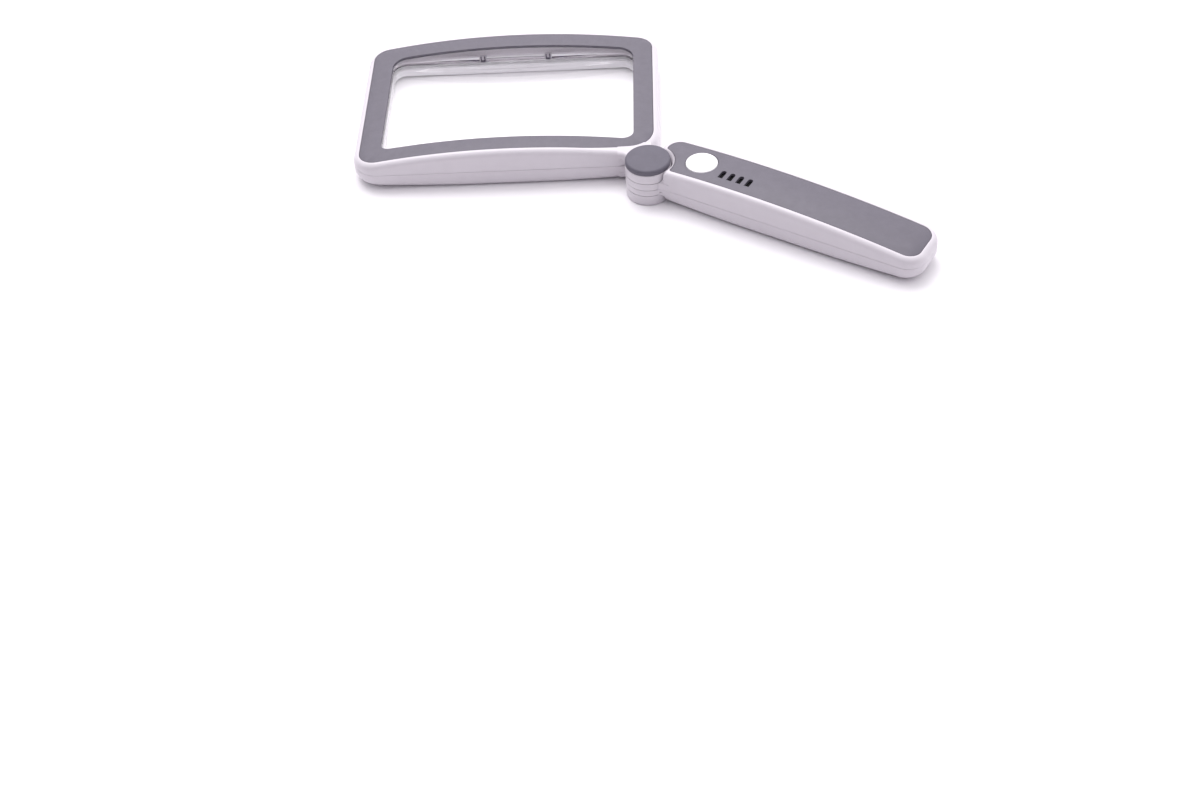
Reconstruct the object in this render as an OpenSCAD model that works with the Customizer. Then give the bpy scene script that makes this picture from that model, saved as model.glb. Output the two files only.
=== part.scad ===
// Folding rectangular reading magnifier with a lit lens head and a swing-out battery handle.
// Millimetres. Origin: the hinge axis at the plane the magnifier lies on. +Z up.
// +X runs along the head's long side towards the hinge end, +Y from the hinge across the head.

/* [Head] */
// Width of the lens head, along X
head_w = 127; // [115:1:140]
// Depth of the lens head, along Y
head_d = 86.5; // [75:0.5:95]
// How far the head reaches past the hinge axis, along X
head_past = 5; // [4:0.5:6]
// Gap from the hinge axis to the head's near wall
head_gap = 7.6; // [7.4:0.1:8]
// Height of the arched top at mid-length
head_top = 17.2; // [16.5:0.1:18.5]
// Radius of the head's arched top
head_arch_r = 345; // [330:5:420]
// Width of the white rim around the grey bezel
rim_w = 2.5; // [2:0.1:3]
// Width of the grey bezel
bezel_w = 8.4; // [8:0.1:9]
// Thickness of the grey bezel and of the grip panel
skin_t = 1.2; // [1:0.1:1.5]

/* [Lens] */
// Height of the lens's flat upper surface
lens_top = 9.2; // [8.8:0.1:9.4]
// Drop of the lens's lower surface at its middle
lens_drop = 2.4; // [2.2:0.1:2.6]

/* [Hinge] */
// Radius of the hinge barrel
barrel_r = 9.3; // [9:0.1:9.4]
// Top of the barrel, where the cap sits
barrel_top = 14.85; // [14.4:0.05:15.2]
// Radius of the hinge pin
pin_r = 3; // [2.6:0.1:3.2]
// Angle of the handle from +X
handle_angle = -31; // [-40:1:-25]

/* [Handle] */
// Reach of the handle's far end from the hinge axis
handle_reach = 120.4; // [118:0.1:124]
// Width of the handle
handle_w = 24.25; // [24.2:0.05:25]
// How far the near wall lies off the hinge axis
handle_off = 4.65; // [4.5:0.05:4.8]
// Height of the handle's arched top at its crown
handle_top = 16.8; // [16.6:0.1:17.5]
// Distance of the crown from the hinge axis
crown_at = 40; // [38:1:45]
// Radius of the handle's arched top
handle_arch_r = 608; // [600:5:700]

/* [Button] */
// Radius of the power button
button_r = 6.5; // [6:0.1:6.6]
// Travel of the power button
button_travel = 1; // [0.6:0.1:1]
// Indicator slots in the grip panel
slot_count = 4; // [2:1:4]

/* [Hidden] */

white = [0.93, 0.92, 0.94];
grey = [0.55, 0.53, 0.58];
steel = [0.75, 0.75, 0.77];
green = [0.15, 0.42, 0.25];

big = 60;               // taller than everything
wide = 200;             // wider than everything
half_span = 150;        // half the length of the arch and belly cutters
cutter_h = 40;
round_fn = 96;
arc_fn = 720;           // for the long shallow arcs
part_z = 7.6;           // parting plane of both pairs of shells
wall = 1.6;
deck_t = 1;             // shell under the bezel and under the grip panel
fit = 0.05;             // radial running clearance
air = 0.35;             // gap between the barrel and what swings round it

head_x0 = head_past - head_w;
head_x1 = head_past;
head_y0 = head_gap;
head_y1 = head_gap + head_d;
head_xm = (head_x0 + head_x1) / 2 + 2;
head_r = [11, 18.5, 8.5, 8.5];    // near left, near right, far right, far left
win_x0 = head_x0 + rim_w + bezel_w + 0.7;
win_x1 = head_x1 - rim_w - bezel_w + 0.1;
win_y0 = head_y0 + rim_w + bezel_w - 0.2;
win_y1 = head_y1 - rim_w - bezel_w;
win_r = [4, 5.5, 6, 6];
belly_r = 900;          // underside: flat in the middle, rising towards both ends
belly_cut = 0.25;

liner_in = 0.3;         // offsets out from the window's edge
liner_out = 2.1;
lens_out = 2.5;
well_out = 2.7;
well_wall = 1.4;
ledge_z = 5.2;
gasket_t = 0.4;
lens_z0 = ledge_z + gasket_t;
lens_z1 = part_z - 0.1;   // top of the lens's flange
cavity_out = well_out + well_wall;
led_x = [-71.5, -43];
led_z = 10.2;
led_size = [3, 2.6];     // width and height of a diode
led_board_size = [46, 0.9, 4.6];
screw_r = 1.1;
screw_head_r = 1.9;
screw_head_t = 1.2;
screw_top = 10;         // tips of all the shell screws
boss_r = 2.5;
screw_in = 3.2;         // of the screws along the head's long walls, in from the wall
head_screw_at = [[head_x0 + 4.6, head_y0 + 14], [head_x0 + 4.6, head_y1 - 14], [-30, head_y1 - screw_in],
    [-88, head_y1 - screw_in], [-30, head_y0 + screw_in], [-88, head_y0 + screw_in],
    [head_x1 - 6, head_y1 - 6]];
lead_angle = 114;       // where the lead leaves the hinge, from +X
lead_z = 2.7;

knuckle_z = [4.8, 10.8];          // under and over the handle's tongue
knuckle_gap = 0.15;
cap_r = 9.2;
cap_h = 2.35;
cap_round = 1;
cup_r = 7;
cup_z = 12.2;
pin_z = [0.8, 12.3];     // ends of the hinge pin
pin_bore = 1.8;
washer_t = 0.2;
lead_r = 0.5;

hx0 = 0.1;
hy0 = -handle_off;
hy1 = handle_w - handle_off;
hxm = 62;               // middle of the handle's underside
handle_r = [4, 8, 8, 7.5];
panel_r = [2, 5.5, 5.5, 5];
notch_r = barrel_r + air;
panel_notch_r = notch_r + 1.25;
button_at = [20.4, 7.9];
slot_at = [31.5, 4.8];
slot_pitch = 3.95;
slot_w = 2;
slot_l = 4.6;
cell_r = 5.2;
cell_l = 43.3;
cell_x0 = 46;
cell_z = 6.9;
cell_y = [hy0 + handle_w / 2 - 5.22, hy0 + handle_w / 2 + 5.22];
bay_x0 = 42.5;
bay_x1 = 92.5;
bay_in = 2.2;           // from the handle's long walls to the battery opening
cover_gap = 0.3;
cover_z = 0.2;
handle_screw_at = [[13, 16], [39.7, 15.6], [39.7, -0.9], [99, 1.5], [99, 13.5]];
board_z = 8.6;
button_z = 12.6;        // underside of the button's flange
plunger_r = 1.5;
bar_z = 13.4;           // underside of the dark window
switch_size = [6.2, 6.2, 1.8];
contact_t = 0.5;        // thickness of the battery contacts
contact_w = 8;

// ---- shared shapes ----

module corner_cut(x, y, sx, sy, r) {
    difference() {
        translate([sx > 0 ? x - 1 : x - r, sy > 0 ? y - 1 : y - r]) square(r + 1);
        translate([x + sx * r, y + sy * r]) circle(r = r, $fn = round_fn);
    }
}

// Rectangle with its own radius at each corner: near left, near right, far right, far left
module round_box(x0, y0, x1, y1, r) {
    difference() {
        translate([x0, y0]) square([x1 - x0, y1 - y0]);
        corner_cut(x0, y0, 1, 1, r[0]);
        corner_cut(x1, y0, -1, 1, r[1]);
        corner_cut(x1, y1, -1, -1, r[2]);
        corner_cut(x0, y1, 1, -1, r[3]);
    }
}

// Everything under a shallow arch whose crown line is at x = xm, z = top
module under_arch(xm, top, r) {
    rotate([90, 0, 0]) translate([0, 0, -half_span]) linear_extrude(2 * half_span) intersection() {
        translate([xm, top - r]) circle(r = r, $fn = arc_fn);
        translate([-half_span, -5]) square([2 * half_span, cutter_h]);
    }
}

// Everything over the underside, raised by up; flat in the middle
module over_belly(xm, up = 0) {
    rotate([90, 0, 0]) translate([0, 0, -half_span]) linear_extrude(2 * half_span) intersection() {
        translate([xm, belly_r - belly_cut + up]) circle(r = belly_r, $fn = arc_fn);
        translate([-half_span, up]) square([2 * half_span, cutter_h]);
    }
}

module rod(r, z0, z1) {
    translate([0, 0, z0]) cylinder(r = r, h = z1 - z0, $fn = round_fn);
}

module slab(z0, z1) {
    translate([0, 0, z0]) linear_extrude(z1 - z0) children();
}

module ring(r_out, r_in, z0, z1) {
    difference() {
        rod(r_out, z0, z1);
        rod(r_in, z0 - 1, z1 + 1);
    }
}

module on_handle() {
    rotate([0, 0, handle_angle]) children();
}

// ---- head ----

module head_plan(d = 0) {
    round_box(head_x0 + d, head_y0 + d, head_x1 - d, head_y1 - d, [for (r = head_r) r - d]);
}

module window_plan(d = 0) {
    round_box(win_x0 - d, win_y0 - d, win_x1 + d, win_y1 + d, [for (r = win_r) r + d]);
}

// The bezel's outer edge; near the hinge its near edge draws away from the rim in a long arc
module bezel_plan(d = 0) {
    sweep_r = 103;
    sweep_x = -30;
    intersection() {
        head_plan(rim_w + d);
        union() {
            translate([-wide, 0]) square([wide + sweep_x, wide]);
            translate([sweep_x, head_y0 + rim_w + d + sweep_r]) circle(r = sweep_r, $fn = arc_fn);
        }
    }
}

module head_arch(down = 0) {
    under_arch(head_xm, head_top - down, head_arch_r - down);
}

// Neck that joins a head knuckle to the head's corner
module neck_plan() {
    polygon([[0, 0], [-7.7, 5.2], [-10.2, 6.3], [-13.4, head_y0], [-13.4, 12], [1.5, 17], [1.2, 12],
        [2.9, 8.8]]);
}

module head_bosses(z0, z1) {
    for (p = head_screw_at) translate(p) rod(boss_r, z0, z1);
}

module head_screw_holes(r, z0, z1) {
    for (p = head_screw_at) translate(p) rod(r, z0, z1);
}

module led_windows() {
    hole = [led_size[0] + 0.4, 4.2, led_size[1] + 0.4];
    for (x = led_x) {
        translate([x - hole[0] / 2, win_y0 - 6, led_z - hole[2] / 2]) cube(hole);
        translate([x - hole[0] / 2, win_y1 + 1.8, led_z - hole[2] / 2]) cube(hole);
    }
}

module head_top_shell() {
    color(white) difference() {
        union() {
            intersection() {
                difference() {
                    slab(part_z, big) head_plan();
                    intersection() {
                        slab(part_z - 1, big) difference() {
                            head_plan(wall);
                            window_plan(cavity_out - 0.3);
                        }
                        head_arch(skin_t + deck_t);
                        difference() {
                            translate([-wide, 0, 0]) cube([1.5 * wide, wide, big]);
                            head_bosses(0, big);
                        }
                    }
                }
                head_arch();
            }
            rod(barrel_r, knuckle_z[1] + knuckle_gap, barrel_top);
            slab(knuckle_z[1] + knuckle_gap, 12) neck_plan();
        }
        difference() {
            slab(part_z, big) bezel_plan(-0.1);
            head_arch(skin_t);
        }
        slab(0, big) window_plan(liner_out + 0.3);
        led_windows();
        head_screw_holes(screw_r + fit, 0, screw_top + 0.2);
        rod(notch_r, 0, knuckle_z[1] + knuckle_gap);
        rod(pin_r + fit, 0, big);
        rod(cup_r, cup_z, big);
    }
}

module head_bottom_shell() {
    color(white) difference() {
        union() {
            intersection() {
                difference() {
                    slab(-1, part_z) head_plan();
                    difference() {
                        intersection() {
                            slab(0, part_z + 1) difference() {
                                head_plan(wall);
                                window_plan(cavity_out);
                            }
                            over_belly(head_xm, wall);
                        }
                        head_bosses(0, big);
                    }
                    slab(ledge_z, part_z + 1) window_plan(well_out);
                    slab(-2, part_z) window_plan();
                }
                over_belly(head_xm);
            }
            rod(barrel_r, 0, knuckle_z[0] - knuckle_gap);
            slab(0, knuckle_z[0] - knuckle_gap) neck_plan();
        }
        head_screw_holes(screw_r + 0.3, -2, big);
        head_screw_holes(screw_head_r + 0.1, -2, 2 + screw_head_t);
        rod(notch_r, knuckle_z[0] - knuckle_gap, big);
        rod(pin_r + fit, pin_z[0], big);
        lead_channel();
    }
}

module lens_bezel() {
    color(grey) intersection() {
        difference() {
            slab(part_z, big) difference() {
                bezel_plan();
                window_plan();
            }
            head_arch(skin_t);
        }
        head_arch();
    }
}

module clear_liner() {
    color([0.85, 0.88, 0.92, 0.4]) intersection() {
        slab(lens_top + 0.1, big) difference() {
            window_plan(liner_out);
            window_plan(liner_in);
        }
        head_arch(skin_t + 0.05);
    }
}

// Flat on top and domed below, with a flange that the two shells hold
module lens() {
    xc = (win_x0 + win_x1) / 2;
    yc = (win_y0 + win_y1) / 2;
    half = norm([win_x1 - win_x0, win_y1 - win_y0]) / 2;
    low_r = (half * half + lens_drop * lens_drop) / (2 * lens_drop);
    mid_z = (lens_z0 + lens_z1) / 2;
    dome_fn = 120;
    color([0.9, 0.95, 1, 0.3]) union() {
        slab(lens_z0, lens_z1) window_plan(lens_out);
        slab(lens_z0, lens_top) window_plan(liner_out);
        intersection() {
            slab(-1, mid_z) window_plan(-0.4);
            translate([xc, yc, 0]) rotate_extrude($fn = dome_fn) intersection() {
                translate([0, lens_z0 - lens_drop + low_r]) circle(r = low_r, $fn = arc_fn);
                translate([0, -1]) square([half + 5, mid_z + 1]);
            }
        }
    }
}

module lens_gasket() {
    color([0.2, 0.2, 0.22]) slab(ledge_z, ledge_z + gasket_t) difference() {
        window_plan(2.4);
        window_plan(0.5);
    }
}

module led_board(y) {
    color(green) translate([-80, y, led_z - led_board_size[2] / 2]) cube(led_board_size);
}

module leds(y0, y1) {
    color([0.95, 0.9, 0.6]) for (x = led_x) {
        translate([x - led_size[0] / 2, min(y0, y1), led_z - led_size[1] / 2])
            cube([led_size[0], abs(y1 - y0), led_size[1]]);
    }
}

module led_board_far() {
    led_board(win_y1 + cavity_out + 0.1);
}

module led_board_near() {
    led_board(win_y0 - cavity_out - 0.1 - led_board_size[1]);
}

module leds_far() {
    leds(win_y1 + liner_out + 0.2, win_y1 + cavity_out + 0.05);
}

module leds_near() {
    leds(win_y0 - liner_out - 0.2, win_y0 - cavity_out - 0.05);
}

// Flat flexible cable from the near board round the hinge end of the window to the far board
module led_ribbon() {
    gap = cavity_out + 0.3;
    ribbon_t = 0.4;
    ribbon_z = 4.6;
    color([0.75, 0.45, 0.15]) intersection() {
        slab(ribbon_z, big) difference() {
            window_plan(gap + ribbon_t);
            window_plan(gap);
        }
        union() {
            translate([-33.9, 0, 0]) cube([60, 200, ribbon_z + 2.4]);
            translate([-33.9, 0, 0]) cube([6, 200, ribbon_z + 4.6]);
        }
    }
}

module screw(z0, z1) {
    rod(screw_head_r, z0, z0 + screw_head_t);
    rod(screw_r, z0, z1);
}

module head_screws() {
    color(steel) for (p = head_screw_at) translate(p) screw(2, screw_top);
}

// ---- hinge ----

module lead_channel() {
    rotate([0, 0, lead_angle]) translate([0, -1, lead_z - 0.8]) cube([15, 2, 1.6]);
}

module hinge_cap() {
    color(grey) union() {
        translate([0, 0, barrel_top]) rotate_extrude($fn = round_fn) {
            square([cap_r - cap_round, cap_h]);
            square([cap_r, cap_h - cap_round]);
            intersection() {
                translate([cap_r - cap_round, cap_h - cap_round]) circle(r = cap_round, $fn = round_fn);
                square([cap_r, cap_h]);
            }
        }
        ring(cup_r - 0.1, cup_r - 1.1, barrel_top - 0.7, barrel_top + 0.1);
    }
}

module hinge_pin() {
    color(steel) difference() {
        ring(pin_r, pin_bore, pin_z[0], pin_z[1]);
        translate([-4, -4, part_z + 0.05]) cube([8, 4, 1.4]);
        lead_channel();
    }
}

module hinge_screw() {
    color(steel) union() {
        rod(4.2, 12.95, 14.1);
        rod(1.75, 9.6, 13);
    }
}

module hinge_spring_washer() {
    color(steel) ring(6.5, pin_r + 0.1, cup_z + 0.05, cup_z + 0.7);
}

module hinge_washers() {
    color(steel) for (z = knuckle_z) ring(6.8, pin_r + 0.1, z - washer_t / 2, z + washer_t / 2);
}

// Lead from inside the pin, down and out into the head's lower shell
module head_lead() {
    color([0.7, 0.15, 0.12]) union() {
        rod(lead_r, lead_z - 0.6, 7.2);
        rotate([0, 0, lead_angle]) translate([0, 0, lead_z]) rotate([0, 90, 0])
            cylinder(r = lead_r, h = 12.4, $fn = 48);
    }
}

// ---- handle, drawn along X and turned to its angle ----

module handle_plan(d = 0) {
    round_box(hx0 + d, hy0 + d, handle_reach - d, hy1 - d, [for (r = handle_r) r - d]);
}

module panel_plan(d = 0) {
    difference() {
        round_box(hx0 + rim_w + d, hy0 + rim_w + d, handle_reach - rim_w - d, hy1 - rim_w - d,
            [for (r = panel_r) r - d]);
        circle(r = panel_notch_r + d, $fn = round_fn);
    }
}

module cavity_plan() {
    difference() {
        handle_plan(wall);
        circle(r = notch_r + wall, $fn = round_fn);
    }
}

// Tongue that joins the two middle knuckles to the handle
module tongue_plan() {
    circle(r = barrel_r, $fn = round_fn);
    polygon([[0, 0], [7.2, -5.9], [9.4, -5.1], [12.4, hy0], [14, 10], [2, 12]]);
}

module handle_arch(down = 0) {
    under_arch(crown_at, handle_top - down, handle_arch_r - down);
}

module handle_bosses(z0, z1) {
    for (p = handle_screw_at) translate(p) rod(boss_r, z0, z1);
}

module slots(z0, z1) {
    for (i = [0:slot_count - 1]) translate([slot_at[0] + i * slot_pitch, slot_at[1]]) slab(z0, z1) {
        translate([-slot_w / 2, -slot_l / 2]) square([slot_w, slot_l - slot_w / 2]);
        translate([0, slot_l / 2 - slot_w / 2]) circle(r = slot_w / 2, $fn = 48);
    }
}

module handle_top_shell() {
    color(white) on_handle() difference() {
        union() {
            intersection() {
                difference() {
                    slab(part_z, big) handle_plan();
                    difference() {
                        intersection() {
                            slab(part_z - 1, big) cavity_plan();
                            handle_arch(skin_t + deck_t);
                        }
                        handle_bosses(0, big);
                    }
                    rod(notch_r, knuckle_z[1] - knuckle_gap, big);
                }
                handle_arch();
            }
            slab(part_z, knuckle_z[1] - knuckle_gap) difference() {
                tongue_plan();
                cavity_plan();
            }
        }
        difference() {
            slab(part_z, big) panel_plan(-0.1);
            handle_arch(skin_t);
        }
        translate(button_at) rod(button_r + 0.4, 10, big);
        translate([slot_at[0] - 2, slot_at[1] - 2.9, 10])
            cube([slot_pitch * (slot_count - 1) + 4, 5.8, 10]);
        for (p = handle_screw_at) translate(p) rod(screw_r + fit, 0, screw_top + 0.4);
        rod(pin_r + fit, 0, big);
        translate([2, 2, part_z - 1]) cube([12, 2, 2.4]);
    }
}

module handle_bottom_shell() {
    color(white) on_handle() difference() {
        union() {
            intersection() {
                difference() {
                    slab(-1, part_z) handle_plan();
                    difference() {
                        intersection() {
                            slab(0, part_z + 1) cavity_plan();
                            over_belly(hxm, wall);
                        }
                        handle_bosses(0, big);
                    }
                    rod(notch_r, -1, knuckle_z[0] + knuckle_gap);
                }
                over_belly(hxm);
            }
            slab(knuckle_z[0] + knuckle_gap, part_z) difference() {
                tongue_plan();
                cavity_plan();
            }
        }
        slab(-1, part_z) translate([bay_x0, hy0 + bay_in]) square([bay_x1 - bay_x0, handle_w - 2 * bay_in]);
        for (p = handle_screw_at) translate(p) {
            rod(screw_r + 0.3, -2, big);
            rod(screw_head_r + 0.1, -2, 1.4 + screw_head_t);
        }
        rod(pin_r + fit, 0, big);
    }
}

module grip_panel() {
    color(grey) on_handle() intersection() {
        difference() {
            slab(part_z, big) panel_plan();
            handle_arch(skin_t);
            translate(button_at) rod(button_r + 0.3, 0, big);
            slots(0, big);
        }
        handle_arch();
    }
}

module power_button() {
    top = handle_top + 0.1;
    round_r = 0.6;
    color(white) on_handle() translate(button_at) union() {
        rod(button_r + 0.9, button_z, button_z + 0.8);
        rod(button_r, button_z, top - round_r);
        rod(button_r - round_r, button_z, top);
        translate([0, 0, top - round_r]) rotate_extrude($fn = round_fn)
            translate([button_r - round_r, 0]) circle(r = round_r, $fn = 48);
    }
}

module switch_plunger() {
    color([0.85, 0.2, 0.15]) on_handle() translate(button_at) rod(plunger_r, board_z + 2.6, button_z - 0.02);
}

module power_switch() {
    color([0.12, 0.12, 0.13]) on_handle() translate(button_at) difference() {
        translate([-switch_size[0] / 2, -switch_size[1] / 2, board_z + 1.02]) cube(switch_size);
        rod(plunger_r + fit, board_z + 1.3, big);
    }
}

module control_board() {
    color(green) on_handle() difference() {
        translate([14.2, hy0 + wall + 0.5, board_z]) cube([22.8, handle_w - 2 * wall - 1, 1]);
        translate(handle_screw_at[0]) rod(boss_r + 1, 0, big);
    }
}

// Dark translucent strip behind the slots
module indicator_window() {
    run = slot_pitch * (slot_count - 1);
    color([0.03, 0.03, 0.04]) on_handle() translate([slot_at[0] + run / 2, slot_at[1], bar_z]) union() {
        translate([-run / 2 - 1.8, -2.7, 0]) cube([run + 3.6, 5.4, 1.95]);
        translate([-run / 2 - 2.8, -3.1, 0]) cube([run + 5.6, 6.2, 0.7]);
    }
}

module handle_lead() {
    color([0.7, 0.15, 0.12]) on_handle() translate([4.2, 3, part_z + 0.54]) rotate([0, 90, 0])
        cylinder(r = 0.45, h = 10.9, $fn = 48);
}

module battery(y) {
    color([0.25, 0.35, 0.55]) on_handle() translate([cell_x0, y, cell_z]) rotate([0, 90, 0]) union() {
        cylinder(r = cell_r, h = cell_l, $fn = round_fn);
        cylinder(r = 1.9, h = cell_l + 1.2, $fn = round_fn);
    }
}

module battery_a() {
    battery(cell_y[0]);
}

module battery_b() {
    battery(cell_y[1]);
}

module battery_springs() {
    turns = 4;
    wire_r = 0.3;
    pitch = 0.55;
    color(steel) on_handle() for (y = cell_y) translate([bay_x0 + 0.3, y, cell_z]) {
        translate([0, -contact_w / 2, -contact_w / 2]) cube([contact_t, contact_w, contact_w]);
        for (i = [0:turns - 1]) translate([0.75 + i * pitch, 0, 0]) rotate([0, 90, 0])
            rotate_extrude($fn = 64) translate([3.6 - i * 0.35, 0]) circle(r = wire_r, $fn = 24);
    }
}

module battery_plates() {
    color(steel) on_handle() for (y = cell_y) {
        translate([cell_x0 + cell_l + 1.25, y - contact_w / 2, cell_z - contact_w / 2])
            cube([contact_t, contact_w, contact_w]);
    }
}

module battery_cover() {
    hook_t = 1;
    color(white) on_handle() difference() {
        union() {
            translate([bay_x0 + cover_gap, hy0 + bay_in + cover_gap, cover_z])
                cube([bay_x1 - bay_x0 - 2 * cover_gap, handle_w - 2 * (bay_in + cover_gap), 1.2]);
            translate([bay_x1 - cover_gap - hook_t, hy0 + handle_w / 2 - 4, cover_z]) cube([hook_t, 8, 3]);
        }
        for (i = [0:3]) translate([bay_x1 - 8 + i * 1.4, hy0 + handle_w / 2 - 5, 0]) cube([0.6, 10, 0.5]);
    }
}

module handle_screws() {
    color(steel) on_handle() for (p = handle_screw_at) translate(p) screw(1.2, screw_top);
}

head_top_shell();
head_bottom_shell();
lens_bezel();
clear_liner();
lens();
lens_gasket();
led_board_far();
led_board_near();
leds_far();
leds_near();
led_ribbon();
head_screws();
hinge_cap();
hinge_pin();
hinge_screw();
hinge_spring_washer();
hinge_washers();
head_lead();
handle_top_shell();
handle_bottom_shell();
grip_panel();
power_button();
switch_plunger();
power_switch();
control_board();
indicator_window();
handle_lead();
battery_a();
battery_b();
battery_springs();
battery_plates();
battery_cover();
handle_screws();
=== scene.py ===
"""Folding rectangular reading magnifier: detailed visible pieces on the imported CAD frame."""
import math

import bmesh
import bpy
from mathutils import Matrix, Vector


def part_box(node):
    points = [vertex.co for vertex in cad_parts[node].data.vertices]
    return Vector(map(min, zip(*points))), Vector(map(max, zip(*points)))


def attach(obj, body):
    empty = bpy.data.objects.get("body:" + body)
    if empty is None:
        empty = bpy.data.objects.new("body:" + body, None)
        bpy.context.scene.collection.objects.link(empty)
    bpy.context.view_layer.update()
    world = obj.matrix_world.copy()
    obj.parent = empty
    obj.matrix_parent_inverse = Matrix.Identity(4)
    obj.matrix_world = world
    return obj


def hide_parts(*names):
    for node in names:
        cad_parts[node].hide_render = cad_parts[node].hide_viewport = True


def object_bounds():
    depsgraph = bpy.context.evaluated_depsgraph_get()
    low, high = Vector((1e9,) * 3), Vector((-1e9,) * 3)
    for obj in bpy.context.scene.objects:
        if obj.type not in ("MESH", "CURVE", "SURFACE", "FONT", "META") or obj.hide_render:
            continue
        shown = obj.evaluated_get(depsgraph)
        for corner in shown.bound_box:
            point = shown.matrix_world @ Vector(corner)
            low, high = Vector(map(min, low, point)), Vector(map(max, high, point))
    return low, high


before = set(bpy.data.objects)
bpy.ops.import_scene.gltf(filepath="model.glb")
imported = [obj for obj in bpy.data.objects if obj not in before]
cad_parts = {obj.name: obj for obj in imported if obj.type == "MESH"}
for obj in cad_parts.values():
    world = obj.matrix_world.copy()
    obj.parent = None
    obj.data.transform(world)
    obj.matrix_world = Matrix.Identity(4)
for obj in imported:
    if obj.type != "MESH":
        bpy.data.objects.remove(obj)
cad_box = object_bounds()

MM = 0.001
TAU = 2 * math.pi

# ---- driving dimensions, in millimetres, in the row frame ----

PART = 7.6              # parting plane of both pairs of shells
WALL = 1.6
SKIN = 1.2              # thickness of the bezel and of the grip panel
DECK = 1.0              # shell under the bezel and under the grip panel
BEND = 4.2              # spacing of the cross edges that let long faces bend
SEAM_IN, SEAM_H, SEAM_GAP = 0.14, 0.13, 0.01    # chamfer and gap along the parting line
SOFT = (0.4, 0.8, 1.2)  # angles, in radians, along a small rounded edge

head_lo, head_hi = [[c / MM for c in p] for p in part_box("head_top_shell")]
HEAD_X0, HEAD_X1 = head_lo[0], 5.0
HEAD_Y0, HEAD_Y1 = 7.6, head_hi[1]
HEAD_TOP = head_hi[2]
HEAD_XM = -56.5         # crown line of the arched top
HEAD_ARCH = 345.0
HEAD_R = (11.0, 18.5, 8.5, 8.5)    # near left, near right, far right, far left
RIM = 2.5
BEZEL = 8.4
WIN = (HEAD_X0 + RIM + BEZEL + 0.7, HEAD_Y0 + RIM + BEZEL - 0.2, HEAD_X1 - RIM - BEZEL + 0.1,
       HEAD_Y1 - RIM - BEZEL)
WIN_R = (4.0, 5.5, 6.0, 6.0)
SWEEP_R, SWEEP_X, SWEEP_ROUND = 103.0, -30.0, 13.0    # long near edge of the bezel
BELLY_R, BELLY_CUT = 900.0, 0.25
LEDGE = 5.2             # seat of the lens's gasket
WELL_OUT, WELL_WALL = 2.7, 1.4      # the lens's well, out from the window's edge
LINER_SLOT, LINER_OUT = 2.4, 2.1
FLANGE_OUT = 2.5
LENS_TOP, LENS_Z0, SAG = 9.2, LEDGE + 0.4, 2.4
STEP = 12.3             # height of the liner's step at mid-length
LED_X = (-71.5, -43.0)

BARREL_R = 9.3
NOTCH_R = 9.65
BARREL_TOP = 14.85
KNUCKLES = (4.8, 10.8)
GAP = 0.09              # half the gap between knuckles
PIN_HOLE = 3.1
CUP = (7.0, 12.2)       # radius and floor of the hollow under the cap

HANDLE_ANGLE = math.radians(-31)
HANDLE_TOP = 16.8
CROWN_S = 40.0
HANDLE_ARCH = 608.0
HANDLE_SM = 62.0        # middle of the handle's underside
REACH = 120.4
NEAR_N, FAR_N = -4.65, 19.6
BUTTON = (20.4, 7.9)
BUTTON_R = 6.5
BUTTON_Z = 12.6         # underside of the button's flange
SLOTS = 4
SLOT_AT, SLOT_PITCH, SLOT_W, SLOT_L = (31.5, 4.8), 3.95, 2.0, 4.6
BAR_Z = 13.4            # underside of the dark window
BAY = (42.5, 92.5)
BAY_IN = 2.2            # from the handle's long walls to the battery opening
COVER_GAP = 0.3
DROP = 2.6              # height of the rounded rims of both upper shells
FOOT = 3.3              # rounding of the head's lower edge
HEEL = 4.0              # rounding of the handle's lower edge
GROOVE = 0.13           # line around the bezel and the grip

# ---- outlines: closed lists of (x, y), anticlockwise from the left end of the near edge ----

SIDE, CORNER = 30, 24


def span(a, b, n):
    """n points from a, b left out."""
    return [(a[0] + (b[0] - a[0]) * i / n, a[1] + (b[1] - a[1]) * i / n) for i in range(n)]


def arc(c, r, a0, a1, n):
    """n points on a circle from angle a0 in degrees, a1 left out."""
    turns = [math.radians(a0 + (a1 - a0) * i / n) for i in range(n)]
    return [(c[0] + r * math.cos(t), c[1] + r * math.sin(t)) for t in turns]


def rounded(x0, y0, x1, y1, radii):
    """A rectangle with its own radius at each corner: near left, near right, far right, far left."""
    rs = [max(r, 0.05) for r in radii]
    c = [(x0 + rs[0], y0 + rs[0]), (x1 - rs[1], y0 + rs[1]),
         (x1 - rs[2], y1 - rs[2]), (x0 + rs[3], y1 - rs[3])]
    pts = span((c[0][0], y0), (c[1][0], y0), SIDE)
    pts += arc(c[1], rs[1], -90, 0, CORNER)
    pts += span((x1, c[1][1]), (x1, c[2][1]), 8)
    pts += arc(c[2], rs[2], 0, 90, CORNER)
    pts += span((c[2][0], y1), (c[3][0], y1), SIDE)
    pts += arc(c[3], rs[3], 90, 180, CORNER)
    pts += span((x0, c[3][1]), (x0, c[0][1]), 8)
    pts += arc(c[0], rs[0], 180, 270, CORNER)
    return pts


def head_line(d=0.0):
    """The head's outline moved in by d."""
    return rounded(HEAD_X0 + d, HEAD_Y0 + d, HEAD_X1 - d, HEAD_Y1 - d, [r - d for r in HEAD_R])


def window_line(d=0.0):
    """The window's edge moved out by d."""
    return rounded(WIN[0] - d, WIN[1] - d, WIN[2] + d, WIN[3] + d, [r + d for r in WIN_R])


def far_hit(o, u, c, r):
    """Distance from point o along unit direction u to the far side of a circle."""
    qx, qy = o[0] - c[0], o[1] - c[1]
    b = qx * u[0] + qy * u[1]
    return -b + math.sqrt(b * b - (qx * qx + qy * qy - r * r))


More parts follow.
